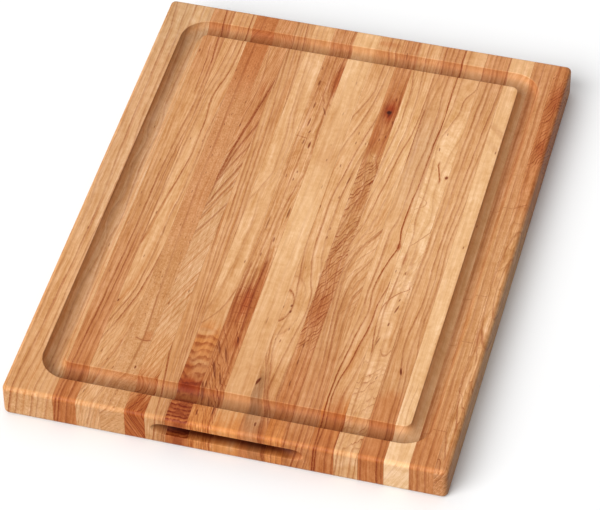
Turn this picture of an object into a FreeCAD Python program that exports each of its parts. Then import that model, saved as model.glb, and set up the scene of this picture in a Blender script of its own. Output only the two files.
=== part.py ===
"""Laminated hardwood cutting board with a juice groove and two finger slots.

The origin is on the resting face, at the centre of the board. +X runs across the staves, +Y runs along
the grain and +Z points up. All lengths are in millimetres.
"""
import FreeCAD, Part
import math
import os

# The finished board
LENGTH = 508.0
WIDTH = 381.0
THICKNESS = 31.75
CORNER_RADIUS = 5.0
EDGE_RADIUS = 4.0

# The juice groove: a closed channel with a round bottom, routed in the work surface
GROOVE_MARGIN = 22.2
GROOVE_WIDTH = 19.05
GROOVE_DEPTH = 7.9
GROOVE_BEND_RADIUS = 15.9
GROOVE_SHIFT_Y = 0.5

# The finger slots: one in each end face, cut by a disc with a fully rounded rim
SLOT_LENGTH = 131.0
SLOT_HEIGHT = 12.3
SLOT_DEPTH = 21.7
SLOT_OFFSET_X = 4.1
SLOT_CENTRE_Z = 17.9

# Sanding eases the sharp edges of the groove and of the slots
EASED_RADIUS = 0.5

# The staves from left to right. The last one takes what is left of the width.
STAVE_WIDTHS = (43.5, 20.2, 20.8, 21.2, 17.6, 17.4, 18.9, 21.0, 22.5,
                22.1, 16.1, 22.1, 21.0, 20.1, 22.0, 21.2, 20.6)
# The glued panel was trimmed slightly out of square: each glue line drifts by this much in X
# between the front face (-Y) and the back face (+Y).
GLUE_DRIFT = 1.9
GLUE_THICKNESS = 0.12

# How far a cutting tool or a slicing slab reaches past the board
OVERRUN = 20.0


def rounded_blank():
    """The board before the groove and the slots are cut."""
    corner = FreeCAD.Vector(-WIDTH / 2, -LENGTH / 2, 0)
    blank = Part.makeBox(WIDTH, LENGTH, THICKNESS, corner)
    upright = [edge for edge in blank.Edges if edge.BoundBox.ZLength > THICKNESS / 2]
    blank = blank.makeFillet(CORNER_RADIUS, upright)
    level = [edge for edge in blank.Edges if edge.BoundBox.ZLength < THICKNESS / 2]
    return blank.makeFillet(EDGE_RADIUS, level)


def groove_path(half_x, half_y, bend, height):
    """A closed rounded rectangle at one height, as lines joined by tangent arcs."""
    edges = []
    diagonal = math.sqrt(0.5)
    corners = ((1, 1), (-1, 1), (-1, -1), (1, -1))
    for index, (sign_x, sign_y) in enumerate(corners):
        centre = FreeCAD.Vector(sign_x * (half_x - bend), sign_y * (half_y - bend), height)
        along_x = centre + FreeCAD.Vector(sign_x * bend, 0, 0)
        along_y = centre + FreeCAD.Vector(0, sign_y * bend, 0)
        middle = centre + FreeCAD.Vector(sign_x * bend * diagonal, sign_y * bend * diagonal, 0)
        first, last = (along_x, along_y) if index % 2 == 0 else (along_y, along_x)
        if edges:
            edges.append(Part.LineSegment(edges[-1].Vertexes[-1].Point, first).toShape())
        edges.append(Part.Arc(first, middle, last).toShape())
    edges.append(Part.LineSegment(edges[-1].Vertexes[-1].Point, edges[0].Vertexes[0].Point).toShape())
    return Part.Wire(edges)


def groove_cutter():
    """A round bar swept along the middle of the groove."""
    half_width = GROOVE_WIDTH / 2
    radius = (half_width ** 2 + GROOVE_DEPTH ** 2) / (2 * GROOVE_DEPTH)
    height = THICKNESS - GROOVE_DEPTH + radius
    half_x = WIDTH / 2 - GROOVE_MARGIN - half_width
    half_y = LENGTH / 2 - GROOVE_MARGIN - half_width
    path = groove_path(half_x, half_y, GROOVE_BEND_RADIUS, height)
    start = path.Edges[0].Vertexes[0].Point
    profile = Part.Wire(Part.makeCircle(radius, start, FreeCAD.Vector(0, 1, 0)))
    cutter = path.makePipeShell([profile], True, False)
    cutter.translate(FreeCAD.Vector(0, GROOVE_SHIFT_Y, 0))
    return cutter


def slot_cutter():
    """The disc that cuts the front finger slot, standing outside the front face."""
    radius = ((SLOT_LENGTH / 2) ** 2 + SLOT_DEPTH ** 2) / (2 * SLOT_DEPTH)
    rim = SLOT_HEIGHT / 2
    flat = radius - rim
    bottom = Part.LineSegment(FreeCAD.Vector(0, 0, -rim), FreeCAD.Vector(flat, 0, -rim))
    nose = Part.Arc(FreeCAD.Vector(flat, 0, -rim), FreeCAD.Vector(radius, 0, 0), FreeCAD.Vector(flat, 0, rim))
    top = Part.LineSegment(FreeCAD.Vector(flat, 0, rim), FreeCAD.Vector(0, 0, rim))
    axis = Part.LineSegment(FreeCAD.Vector(0, 0, rim), FreeCAD.Vector(0, 0, -rim))
    section = Part.Face(Part.Wire([bottom.toShape(), nose.toShape(), top.toShape(), axis.toShape()]))
    disc = section.revolve(FreeCAD.Vector(0, 0, 0), FreeCAD.Vector(0, 0, 1), 360)
    disc.translate(FreeCAD.Vector(SLOT_OFFSET_X, -LENGTH / 2 - radius + SLOT_DEPTH, SLOT_CENTRE_Z))
    return disc


def ease_groove_edges(board):
    """Round the two rims of the groove where they meet the work surface."""
    inset = GROOVE_MARGIN / 2
    rims = []
    for edge in board.Edges:
        box = edge.BoundBox
        on_top = box.ZMin > THICKNESS - 0.01
        inside = box.XMax < WIDTH / 2 - inset and box.XMin > inset - WIDTH / 2
        inside = inside and box.YMax < LENGTH / 2 - inset and box.YMin > inset - LENGTH / 2
        if on_top and inside:
            rims.append(edge)
    return board.makeFillet(EASED_RADIUS, rims)


def ease_slot_edges(board):
    """Round the mouth of each finger slot."""
    mouths = []
    for edge in board.Edges:
        box = edge.BoundBox
        in_end_face = box.YLength < 0.01 and abs(abs(box.YMin) - LENGTH / 2) < 0.01
        clear_of_rim = box.ZMin > EDGE_RADIUS + 1 and box.ZMax < THICKNESS - EDGE_RADIUS - 1
        narrow = abs(box.XMin) < SLOT_LENGTH and abs(box.XMax) < SLOT_LENGTH
        if in_end_face and clear_of_rim and narrow:
            mouths.append(edge)
    return board.makeFillet(EASED_RADIUS, mouths)


def machined_board():
    """The whole board as one solid, before it is divided into its staves."""
    board = rounded_blank().cut(groove_cutter())
    front = slot_cutter()
    back = front.copy()
    back.rotate(FreeCAD.Vector(0, 0, 0), FreeCAD.Vector(0, 0, 1), 180)
    board = board.cut(front).cut(back)
    return ease_slot_edges(ease_groove_edges(board))


def glue_positions():
    """X of each glue line at the middle of the board's length."""
    positions = []
    x = -WIDTH / 2
    for width in STAVE_WIDTHS:
        x += width
        positions.append(x)
    return positions


def slab(left, right):
    """An upright slab between two X positions, drifting in X like the glue lines do."""
    reach = LENGTH / 2 + OVERRUN
    drift = GLUE_DRIFT / LENGTH * reach
    outline = Part.makePolygon([
        FreeCAD.Vector(left + drift, -reach, -OVERRUN),
        FreeCAD.Vector(right + drift, -reach, -OVERRUN),
        FreeCAD.Vector(right - drift, reach, -OVERRUN),
        FreeCAD.Vector(left - drift, reach, -OVERRUN),
        FreeCAD.Vector(left + drift, -reach, -OVERRUN)])
    return Part.Face(outline).extrude(FreeCAD.Vector(0, 0, THICKNESS + 2 * OVERRUN))


def staves(board):
    """One solid for each strip of wood, from left to right."""
    half_glue = GLUE_THICKNESS / 2
    lines = glue_positions()
    lefts = [-WIDTH / 2 - OVERRUN] + [x + half_glue for x in lines]
    rights = [x - half_glue for x in lines] + [WIDTH / 2 + OVERRUN]
    return [board.common(slab(left, right)) for left, right in zip(lefts, rights)]


def glue_lines(board):
    """One thin film for each joint between two staves, flush with the board's surface."""
    half_glue = GLUE_THICKNESS / 2
    return [board.common(slab(x - half_glue, x + half_glue)) for x in glue_positions()]


def export(name, shape):
    """Write one node as a STEP file holding one solid."""
    if len(shape.Solids) != 1 or not shape.isValid():
        raise ValueError(name + " is not one valid solid")
    shape.Solids[0].exportStep("parts/" + name + ".step")


def main():
    os.makedirs("parts", exist_ok=True)
    board = machined_board()
    for number, shape in enumerate(staves(board), start=1):
        export("stave_%02d" % number, shape)
    for number, shape in enumerate(glue_lines(board), start=1):
        export("glue_line_%02d" % number, shape)


main()
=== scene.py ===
"""Looks of the cutting board: 18 maple and cherry staves, each with its own figure, and their glue lines.

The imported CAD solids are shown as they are. Each stave gets a wood material whose growth lines, flecks and
tones are placed in millimetres of the board's own frame, so they run on over the edges, down into the groove
and across the end grain.
"""
import math
from dataclasses import dataclass

import bpy
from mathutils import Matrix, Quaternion, Vector


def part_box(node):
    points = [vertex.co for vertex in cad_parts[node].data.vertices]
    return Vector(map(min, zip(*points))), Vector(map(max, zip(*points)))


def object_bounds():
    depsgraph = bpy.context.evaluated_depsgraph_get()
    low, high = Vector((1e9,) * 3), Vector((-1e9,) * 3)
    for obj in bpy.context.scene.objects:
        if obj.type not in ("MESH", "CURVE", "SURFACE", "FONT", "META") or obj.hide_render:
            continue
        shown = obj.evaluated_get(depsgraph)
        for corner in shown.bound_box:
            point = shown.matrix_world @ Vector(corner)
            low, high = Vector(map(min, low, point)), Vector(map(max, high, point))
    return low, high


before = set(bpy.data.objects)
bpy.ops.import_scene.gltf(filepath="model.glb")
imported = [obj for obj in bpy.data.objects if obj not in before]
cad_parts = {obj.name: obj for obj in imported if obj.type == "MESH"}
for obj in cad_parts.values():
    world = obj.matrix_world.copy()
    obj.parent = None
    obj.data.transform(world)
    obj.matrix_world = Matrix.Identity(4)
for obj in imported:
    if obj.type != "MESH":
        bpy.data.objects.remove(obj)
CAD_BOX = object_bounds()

MM = 1000.0
HALF_WIDTH = CAD_BOX[1].x * MM
HALF_LENGTH = CAD_BOX[1].y * MM
THICKNESS = CAD_BOX[1].z * MM

# The camera stands in front and to the right of the board and looks down on it.
VIEW_AZIMUTH = math.radians(15.1)
VIEW_ELEVATION = math.radians(45.28)
VIEW_ROLL = math.radians(-0.514)
VIEW_TARGET = Vector((6.95, -27.40, THICKNESS / 2)) / MM
VIEW_DISTANCE = 2.8689
LENS = 197.9

# A wide soft light in front and to the left, a weaker one overhead and behind, and a white surround that
# fills the shadows. Each lamp: the direction it shines from, how wide it is, and the brightness it alone
# would give a white surface that faces it.
SURROUND_STRENGTH = 0.22
LIGHTS = {
    "key": (Vector((-0.40, -0.72, 0.62)), math.radians(52), 1.05),
    "overhead": (Vector((-0.12, 0.60, 1.0)), math.radians(80), 0.25),
}
FLOOR_SIZE = 8.0
FLOOR_WHITE = 0.98
FLOOR_ROUGHNESS = 0.8

# Tones of the wood, roughly from the palest to the darkest, as sRGB.
TONES = {
    "ivory": (234, 184, 138),
    "cream": (228, 175, 126),
    "wheat": (221, 165, 116),
    "rose": (214, 160, 115),
    "honey": (216, 158, 109),
    "oat": (206, 157, 113),
    "tan": (211, 151, 101),
    "fawn": (205, 145, 96),
    "caramel": (203, 138, 90),
    "orange": (206, 129, 70),
    "copper": (196, 125, 75),
    "chestnut": (188, 112, 62),
    "rust": (180, 99, 50),
    "clay": (168, 116, 78),
    "brick": (167, 79, 35),
    "mahogany": (150, 56, 18),
    "umber": (112, 56, 26),
}
# Rings, fibres and specks mostly darken the wood, so its tones are lifted by this much first.
LIFT = (1.065, 1.135, 1.125)
# Tints that multiply them, as linear colour.
LATE_WOOD = (0.70, 0.39, 0.11)
DEEP_LINE = (0.45, 0.17, 0.04)
FLECK = (0.33, 0.12, 0.05)
# Cut surfaces of the groove and slots: partly the routed wood's own darker tone, partly painted shade.
CUT_TONE_AND_SHADE = (0.80, 0.67, 0.56)
# The groove's floor: more of that tone and painted shade.
GROOVE_FLOOR_TONE_AND_SHADE = (0.80, 0.86, 0.95)
# Painted shade, darker the deeper inside a finger slot.
SLOT_PAINTED_SHADE = (0.24, 0.12, 0.08)
# Rounded outer edges: lighter, partly wear and partly a painted highlight.
EDGE_WEAR_AND_HIGHLIGHT = (1.10, 1.06, 0.98)

# Where the groove and the finger slots are, in millimetres, so that their cut surfaces can be told apart and
# given their tone and painted shade.
GROOVE_MARGIN = 22.2
GROOVE_WIDTH = 19.05
GROOVE_DEPTH = 7.9
SLOT_REACH = 65.5
SLOT_OFFSET_X = 4.1
SLOT_TOP = 24.3
SLOT_BOTTOM = 11.5
EDGE_RADIUS = 4.0
# How much of their painted shade the groove's walls lose where they face left, towards the main lamp: a
# painted lit side.
LIT_WALL_SHADE_LOSS = 0.85

# Noises of the wood: how fast each changes per millimetre across the board, along it and downwards, and
# its detail and roughness. "unrest" and "bands" change per guide line and per ring instead of across.
# Fibres draw upright lines on the end faces, but on the long sides they stay as fine as on the top.
GRAIN = {
    "wobble": (0.035, 0.022, 0.04, 2.0, 0.55),
    "shiver": (0.12, 0.13, 0.12, 2.0, 0.55),
    "unrest": (0.9, 0.012, 0.0, 3.0, 0.55),
    "bands": (1.3, 0.008, 0.01, 3.0, 0.55),
    "fibre": (0.52, 0.024, 0.09, 3.0, 0.85),
    "side fibre": (0.52, 0.024, 0.4, 3.0, 0.85),
    "ripple": (0.13, 0.19, 0.1, 2.0, 0.6),
    "grit": (0.75, 0.42, 0.75, 2.0, 0.7),
    "pores": (0.80, 0.15, 0.80, 1.0, 0.55),
}
# How far apart the noises of two neighbouring staves are taken, and how far, in millimetres, the noises
# move the growth lines, the ripple and the tones.
SEED_STEP = 17.3
WOBBLE_SHIFT = 0.55
SHIVER_SHIFT = 0.22
RIPPLE_DRIFT = 9.0
MOTTLE_DRIFT = 14.0
BANDS_DRIFT = 10.0
# How strongly the bands lighten and darken the wood, and how much faster its green and blue change with
# light than its red.
BANDS_LIGHT = 0.095
GREEN_POWER = 1.7
BLUE_POWER = 2.9

# Growth lines and streaks, in millimetres.
OUTER_GAP = 6.0
NARROWEST_GAP = 0.8
GUIDE_SHARP_SIDE = 0.7
GUIDE_SOFT_SIDE = 4.2
GUIDE_THINNING = 2.4
GUIDE_DEPTH = 1.15
STREAK_FADE = 8.0
DIAGONAL_FADE = 14.0
# How much wider a streak across the fibres is than one along them, and how many fine rings lie in a ring.
CROSSWISE_WIDER = 1.6
FINE_RINGS = 2.7
# The least and the most that chance makes of a ring's darkness.
RING_CHANCE = (0.30, 1.25)
# How dark rings, curls and closed lines are from one side (0) to the other (1).
RING_PROFILE = ((0.0, 0.20), (0.08, 0.0), (0.40, 0.08), (0.78, 0.42), (0.93, 1.0), (1.0, 0.20))
CURL_PROFILE = ((0.0, 0.5), (0.10, 0.0), (0.38, 0.10), (0.62, 0.70), (0.90, 1.0), (1.0, 0.5))
EYE_PROFILE = ((0.0, 1.0), (0.07, 0.5), (0.16, 0.0), (0.72, 0.0), (0.93, 0.5), (1.0, 1.0))
# Where flecks and patches begin and where they are full, as parts of their radius.
FLECK_RIM = (1.25, 0.55)
PATCH_RIM = (1.35, 0.35)
# The pore noise at which specks begin and at which they are full, when they are fewest.
SPECK_THRESHOLDS = (1.12, 1.55)
SPECK_DEPTH = 0.7

WOOD_ROUGHNESS = 0.52
WOOD_RELIEF = 0.08 / MM
GLUE_ROUGHNESS = 0.42
GLUE_RELIEF = 0.05 / MM
GLUE_CLOUDS = (90.0, 45.0, 220.0)


def linear(tone):
    """A tone's linear colour, lifted."""
    channels = zip(LIFT, TONES[tone])
    return tuple(lift * ((value / 255 + 0.055) / 1.055) ** 2.4 for lift, value in channels) + (1.0,)


@dataclass(frozen=True)
class Figure:
    """What one stave shows, in millimetres on the board's top."""

    tones: tuple  # (place along the board, tone)
    guides: tuple  # growth lines from left to right that the rings between them follow: (darkness, path)
    lean: float = 0.1  # how far the rings move to the left for each millimetre down
    rings: float = 1.5  # rings from one guide to the next
    ring_depth: float = 0.30  # how dark the late wood is
    slant: tuple = ()  # instead of guides: (place along, millimetres along for one across)
    slant_spacing: float = 18.0
    streaks: tuple = ()  # dark lines of their own: (darkness, width, path)
    patches: tuple = ()  # (x, y, half width, half length, tone, strength)
    flecks: tuple = ()  # (darkness, x, y) and, if not the usual ones, length, width and turn in degrees
    specks: float = 0.35  # how many small specks are scattered over it
    grit: float = 0.03  # how strongly it is grained all over with 1 mm grains
    fibre: float = 0.19  # how strongly it is streaked with fibres
    mottle: float = 0.065  # how strongly it is clouded
    ripple: float = 0.06  # how strongly light and dark bands lie across it
    curls: tuple = ()  # curly stretches with dark clouded bands across them: (from, to, spacing, depth)
    diagonals: tuple = ()  # stretches of slanting lines: (from, to, mm along for one across, spacing, depth)
    eyes: tuple = ()  # lines that close around a point: (x, y, half width, half length, lines, darkness)


# The staves from left to right.
FIGURES = {}

FIGURES[1] = Figure(
    tones=((-250, "tan"), (-120, "honey"), (0, "rose"), (130, "rose"), (240, "oat")),
    lean=0.15,
    guides=(
        (0.25, ((-187, 250), (-187, 30), (-184, -40), (-186, -90), (-187, -250))),
        (0.45, ((-184, 250), (-181, 210), (-180, 150), (-178.5, 50), (-176.5, 0), (-176, -50), (-179, -170),
            (-182, -245))),
        (0.35, ((-174, 250), (-172, 200), (-171, 85), (-168.5, 45), (-169.5, -60), (-171, -110), (-172, -200),
            (-176, -245))),
        (0.30, ((-166, 250), (-164, 150), (-163, 85), (-160, 70), (-163, 40), (-160, 0), (-164, -33),
            (-159, -60), (-160, -90), (-163, -125), (-160, -200), (-163, -245))),
        (0.35, ((-158, 250), (-156, 200), (-157, 125), (-153, 90), (-156, 40), (-153, -30), (-156, -60),
            (-154, -120), (-155, -175), (-158, -245))),
        (0.20, ((-151, 250), (-150, 100), (-151, -60), (-150, -245))),
    ),
    patches=((-158, 20, 11, 260, "ivory", 0.75),),
    flecks=((0.6, -158, 90), (0.6, -153.5, -65, 5), (0.5, -157, -212, 5), (0.5, -188.5, 230, 5),
        (0.6, -176.5, -56)),
)

FIGURES[2] = Figure(
    tones=((-250, "chestnut"), (-210, "copper"), (-110, "caramel"), (0, "fawn"), (120, "tan"),
        (190, "caramel"), (235, "caramel")),
    rings=2.4, ring_depth=0.42, fibre=0.24,
    guides=(
        (0.20, ((-144, 250), (-143, 0), (-147, -245))),
        (0.55, ((-136.5, 250), (-134, 225), (-131.5, 175), (-131, 130), (-134, 75), (-136, 25), (-136.5, -50),
            (-139, -150), (-143, -245))),
        (0.45, ((-129, 250), (-127.5, 105), (-130.5, 60), (-132, 0), (-133.5, -110), (-138, -210),
            (-140, -245))),
        (0.35, ((-126, 250), (-125.5, 105), (-127.5, 50), (-127.2, -30), (-128.5, -110), (-131.5, -210),
            (-133, -245))),
    ),
    streaks=((0.85, 1.6, ((-136.5, 252), (-134, 225), (-133, 205), (-131, 180))),
        (0.65, 1.3, ((-137.5, 197), (-136, 170), (-135, 140))), (0.5, 1.2, ((-133, -222), (-131.5, -245)))),
    flecks=((0.7, -146, 191, 5, 1.3), (0.5, -144, -2, 4, 1), (0.5, -140.5, -18, 4, 1),
        (0.5, -144.5, -41, 4, 1), (0.5, -142.5, -101, 5, 1), (0.5, -140, 42, 4, 1)),
)

FIGURES[3] = Figure(
    tones=((-250, "honey"), (-120, "honey"), (0, "wheat"), (120, "honey"), (240, "honey")),
    lean=0.19, rings=1.4, ring_depth=0.36,
    diagonals=((-262, -135, 3.75, 11.0, 0.45),),
    guides=(
        (0.40, ((-119, 250), (-119.5, 210), (-120.5, 180), (-126, 130), (-130, 60), (-139, -60),
            (-165, -250))),
        (0.40, ((-115, 250), (-115, 210), (-116, 180), (-122, 130), (-124, 80), (-125.5, 20), (-131, -60),
            (-158, -250))),
        (0.50, ((-110, 250), (-111, 180), (-117.5, 125), (-115, 95), (-115, 60), (-117, 30), (-121, 0),
            (-126, -50), (-133, -110), (-152, -250))),
        (0.45, ((-104, 250), (-106, 150), (-109, 80), (-109, 30), (-112, -40), (-114, -110), (-126, -160),
            (-148, -250))),
        (0.60, ((-98, 250), (-101, 100), (-104, 0), (-108, -100), (-118, -152), (-126, -178), (-144, -250))),
        (0.40, ((-92, 250), (-96, 0), (-100, -100), (-106, -160), (-113, -200), (-128, -250))),
        (0.30, ((-86, 250), (-90, 0), (-94, -120), (-100, -190), (-112, -250))),
    ),
    flecks=((0.7, -127, 129), (0.6, -121, 75, 4, 1.1), (0.5, -109.5, 75, 4, 1.1), (0.5, -116.5, 127, 3, 1),
        (0.6, -124, -23, 4, 1.3), (0.45, -111, -43, 14, 1), (0.6, -119.5, -77, 4, 1),
        (0.95, -125, -133, 4, 1.4, 10), (0.6, -121.5, -193, 4, 1.1, 10), (0.6, -114.5, -201, 4, 1.1, 10),
        (0.6, -107, -209, 4, 1.1, 10), (0.6, -122, -240, 5, 1.2, 10)),
)

FIGURES[4] = Figure(
    tones=((-250, "fawn"), (-110, "fawn"), (0, "caramel"), (110, "caramel"), (200, "chestnut"),
        (240, "chestnut")),
    lean=0.9, rings=1.6, ring_depth=0.18, specks=1.0, fibre=0.11, grit=0.17,
    guides=(
        (0.10, ((-104, 250), (-104, 0), (-104, -250))),
        (0.35, ((-99, 250), (-99, 100), (-98, -10), (-94, -120), (-92, -165), (-98, -250))),
        (0.10, ((-89, 250), (-89, 0), (-86, -160), (-91, -250))),
    ),
    streaks=((0.6, 1.5, ((-98, -171), (-91, -173), (-85, -172))),),
    patches=((-88, -168, 4, 7, "chestnut", 0.6),),
    flecks=((0.95, -88.5, -204, 4, 1.5), (0.6, -106, 173), (0.6, -94, 115, 4, 1), (0.6, -86, 134, 4, 1),
        (0.6, -101, 69, 4, 1), (0.6, -96.5, 59, 4, 1), (0.6, -101, 10, 4, 1)),
)

FIGURES[5] = Figure(
    tones=((-250, "rust"), (-226, "copper"), (-190, "tan"), (-120, "rose"), (10, "rose"), (110, "caramel"),
        (240, "caramel")),
    lean=-0.54, ring_depth=0.62, fibre=0.24, rings=1.0,
    guides=(),
    slant=((-254, 3.4), (-140, 2.8), (-20, 2.4), (60, 4.0), (110, 7.0), (254, 9.0)),
    slant_spacing=13.0,
    diagonals=((-266, -222, 1.7, 5.0, 0.9),),
    streaks=((0.85, 3.0, ((-66, 180), (-68, 165), (-74, 120), (-78, 95), (-81, 70), (-84.5, 28))),
        (0.7, 2.6, ((-66, 120), (-68, 108), (-77, 72), (-82, 40), (-85, 12))),
        (0.55, 2.2, ((-66, 86), (-68, 78), (-79, 45), (-85, 20))),
        (0.65, 2.4, ((-66, 62), (-68, 54), (-78, 20), (-86, -10))),
        (0.55, 2.2, ((-66, 36), (-78, 3), (-86, -22))), (0.6, 2.2, ((-66, 6), (-75, -16), (-86, -42))),
        (0.4, 1.6, ((-83, 205), (-79.5, 165), (-83, 105)))),
    patches=((-75.5, 152, 2.5, 14, "rust", 0.5), (-82, 200, 4, 45, "tan", 0.6)),
    flecks=((0.7, -83, 103), (0.6, -82.5, -126), (0.6, -70, -108)),
)

FIGURES[6] = Figure(
    tones=((-250, "fawn"), (-210, "tan"), (-110, "tan"), (0, "honey"), (120, "honey"), (240, "fawn")),
    rings=1.2, ring_depth=0.36,
    guides=(
        (0.60, ((-95, 250), (-80, 0), (-72, -120), (-67, -170), (-60, -225), (-57, -250))),
        (0.30, ((-88, 250), (-75, 0), (-67, -90), (-59, -190), (-53, -250))),
        (0.35, ((-80, 250), (-70, 60), (-67, -20), (-60, -120), (-54, -205), (-50, -250))),
        (0.35, ((-74, 250), (-69, 130), (-65, 60), (-60, -60), (-52, -210), (-48, -250))),
        (0.40, ((-70, 250), (-66, 150), (-61.5, 65), (-58.5, -20), (-56, -100), (-49, -220), (-46, -250))),
        (0.40, ((-67, 250), (-66, 210), (-59, 110), (-57, 60), (-54, -20), (-51, -130), (-44, -250))),
        (0.35, ((-63, 250), (-61, 215), (-57, 150), (-53.5, 50), (-51, -5), (-42, -250))),
        (0.50, ((-58, 250), (-56, 225), (-51, 150), (-47, 50), (-40, -250))),
    ),
    patches=((-55, 150, 3, 50, "copper", 0.4),),
)

FIGURES[7] = Figure(
    tones=((-250, "rust"), (-206, "rust"), (-190, "copper"), (-160, "orange"), (-135, "tan"), (-60, "wheat"),
        (120, "wheat"), (240, "wheat")),
    lean=0.05, ring_depth=0.18,
    guides=(
        (0.30, ((-47, 250), (-46, 213), (-43, 140), (-39, 85), (-38.5, 60), (-44, 30), (-50, 10),
            (-56, -250))),
        (0.25, ((-42, 250), (-40, 140), (-34, 85), (-34, 50), (-42, 25), (-40, -10), (-40.5, -50),
            (-46, -105), (-50, -130), (-52, -250))),
        (0.10, ((-33, 250), (-31, 100), (-31, 0), (-31, -100), (-34, -250))),
    ),
    fibre=0.15, mottle=0.09, ripple=0.07,
    streaks=((0.45, 2.0, ((-30, -92), (-38, -122), (-50, -143))),),
    patches=((-40, -211, 15, 7, "mahogany", 0.9), (-40, -227, 15, 5, "mahogany", 0.85),
        (-40, -219, 11, 2.6, "orange", 0.6), (-42, -150, 9, 4, "wheat", 0.7), (-38, -186, 9, 4, "tan", 0.5),
        (-40, -242, 14, 9, "mahogany", 0.45), (-30.5, 90, 1.5, 45, "cream", 0.7)),
    flecks=((0.7, -33, -62),),
    curls=((-207, -146, 9.0, 0.62), (-262, -226, 4.2, 0.95)),
)

FIGURES[8] = Figure(
    tones=((-250, "orange"), (-215, "copper"), (-135, "copper"), (-80, "tan"), (0, "honey"), (100, "honey"),
        (210, "caramel"), (240, "caramel")),
    lean=0.0, rings=1.8, ring_depth=0.50, fibre=0.30, ripple=0.09,
    guides=(
        (0.30, ((-29, 250), (-27, 190), (-28, 150), (-29, 80), (-28, 0), (-30, -100), (-31, -250))),
        (0.30, ((-22, 250), (-21, 190), (-20, 138), (-21, 60), (-22, 0), (-24, -90), (-27, -240))),
        (0.40, ((-13, 250), (-14, 190), (-14, 145), (-12, 60), (-15, 33), (-18, 0), (-16, -60), (-14, -153),
            (-12, -235))),
    ),
    streaks=((0.6, 3.0, ((-27, -66), (-28, -90), (-27, -138))), (0.6, 2.6, ((-21, -72), (-21.5, -132))),
        (0.7, 2.6, ((-14.5, -60), (-15.5, -90), (-14, -140))), (0.6, 1.5, ((-21, 159), (-17, 150))),
        (0.5, 1.4, ((-30, 103), (-20, 101))), (0.45, 1.0, ((-30, -91), (-12, -94))),
        (0.45, 1.0, ((-30, -104), (-12, -102))), (0.5, 1.0, ((-30, -112), (-12, -114))),
        (0.45, 1.0, ((-30, -123), (-12, -121))), (0.4, 1.0, ((-30, -134), (-12, -132)))),
    eyes=((-8, 180, 10, 34, 3, 0.55),),
    diagonals=((-262, -142, -2.6, 7.0, 0.8),),
    patches=((-10, 184, 6, 24, "brick", 0.85), (-14, 180, 6, 16, "rust", 0.5), (-13, -95, 7, 44, "rust", 0.8),
        (-23, -114, 9, 30, "rust", 0.8), (-19, -108, 4.5, 22, "brick", 0.9),
        (-18, -152, 9, 26, "chestnut", 0.6), (-14, -155, 4, 8, "brick", 0.6)),
    flecks=((0.7, -25, 145, 9, 1.7), (0.75, -24, 122, 12, 1.8), (0.75, -28, 175, 8, 1.6), (0.6, -30, 195, 5),
        (0.95, -16, 93, 10, 2), (0.7, -22, 96, 7, 1.6), (0.7, -14, 139, 12, 1.8, -25), (0.7, -18, 57),
        (0.7, -18.5, 47), (0.6, -26, 50, 5), (0.7, -12, 5, 14, 1.8), (0.6, -26, -12, 20, 1.3),
        (0.7, -15.5, -30, 7, 1.6), (0.6, -22, -50, 5), (0.7, -20, 110, 4, 1.4, 20),
        (0.8, -14, -153, 9, 1.4, -15), (0.6, -27, -165, 16, 2.4, -16), (0.65, -19, -172, 20, 2.4, -18),
        (0.7, -24, -190, 22, 2.6, -20), (0.6, -16, -200, 16, 2.2, -16), (0.65, -28, -212, 16, 2.4, -10),
        (0.6, -20, -222, 14, 2.2, -12), (0.8, -25, -240, 8, 1.6), (0.7, -12.5, -235, 12, 1.6),
        (0.6, -26, -208, 9, 1.4, -12)),
)

FIGURES[9] = Figure(
    tones=((-250, "orange"), (-225, "tan"), (-120, "wheat"), (0, "cream"), (100, "wheat"), (240, "cream")),
    lean=0.0, ring_depth=0.12, specks=0.25, fibre=0.11,
    guides=(
        (0.12, ((-5, 250), (-4, 60), (-6, -60), (-5, -250))),
        (0.12, ((4, 250), (5, 60), (3, -120), (5, -250))),
        (0.10, ((11, 250), (10, 0), (12, -250))),
    ),
    patches=((2, 82, 8, 17, "tan", 0.7),),
    flecks=((0.4, 5, 183, 5), (0.4, 3, 140, 5), (0.4, 8, 44, 5), (0.45, 4, -125, 9, 1), (0.5, 4, 78, 4, 1.3)),
)

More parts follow.
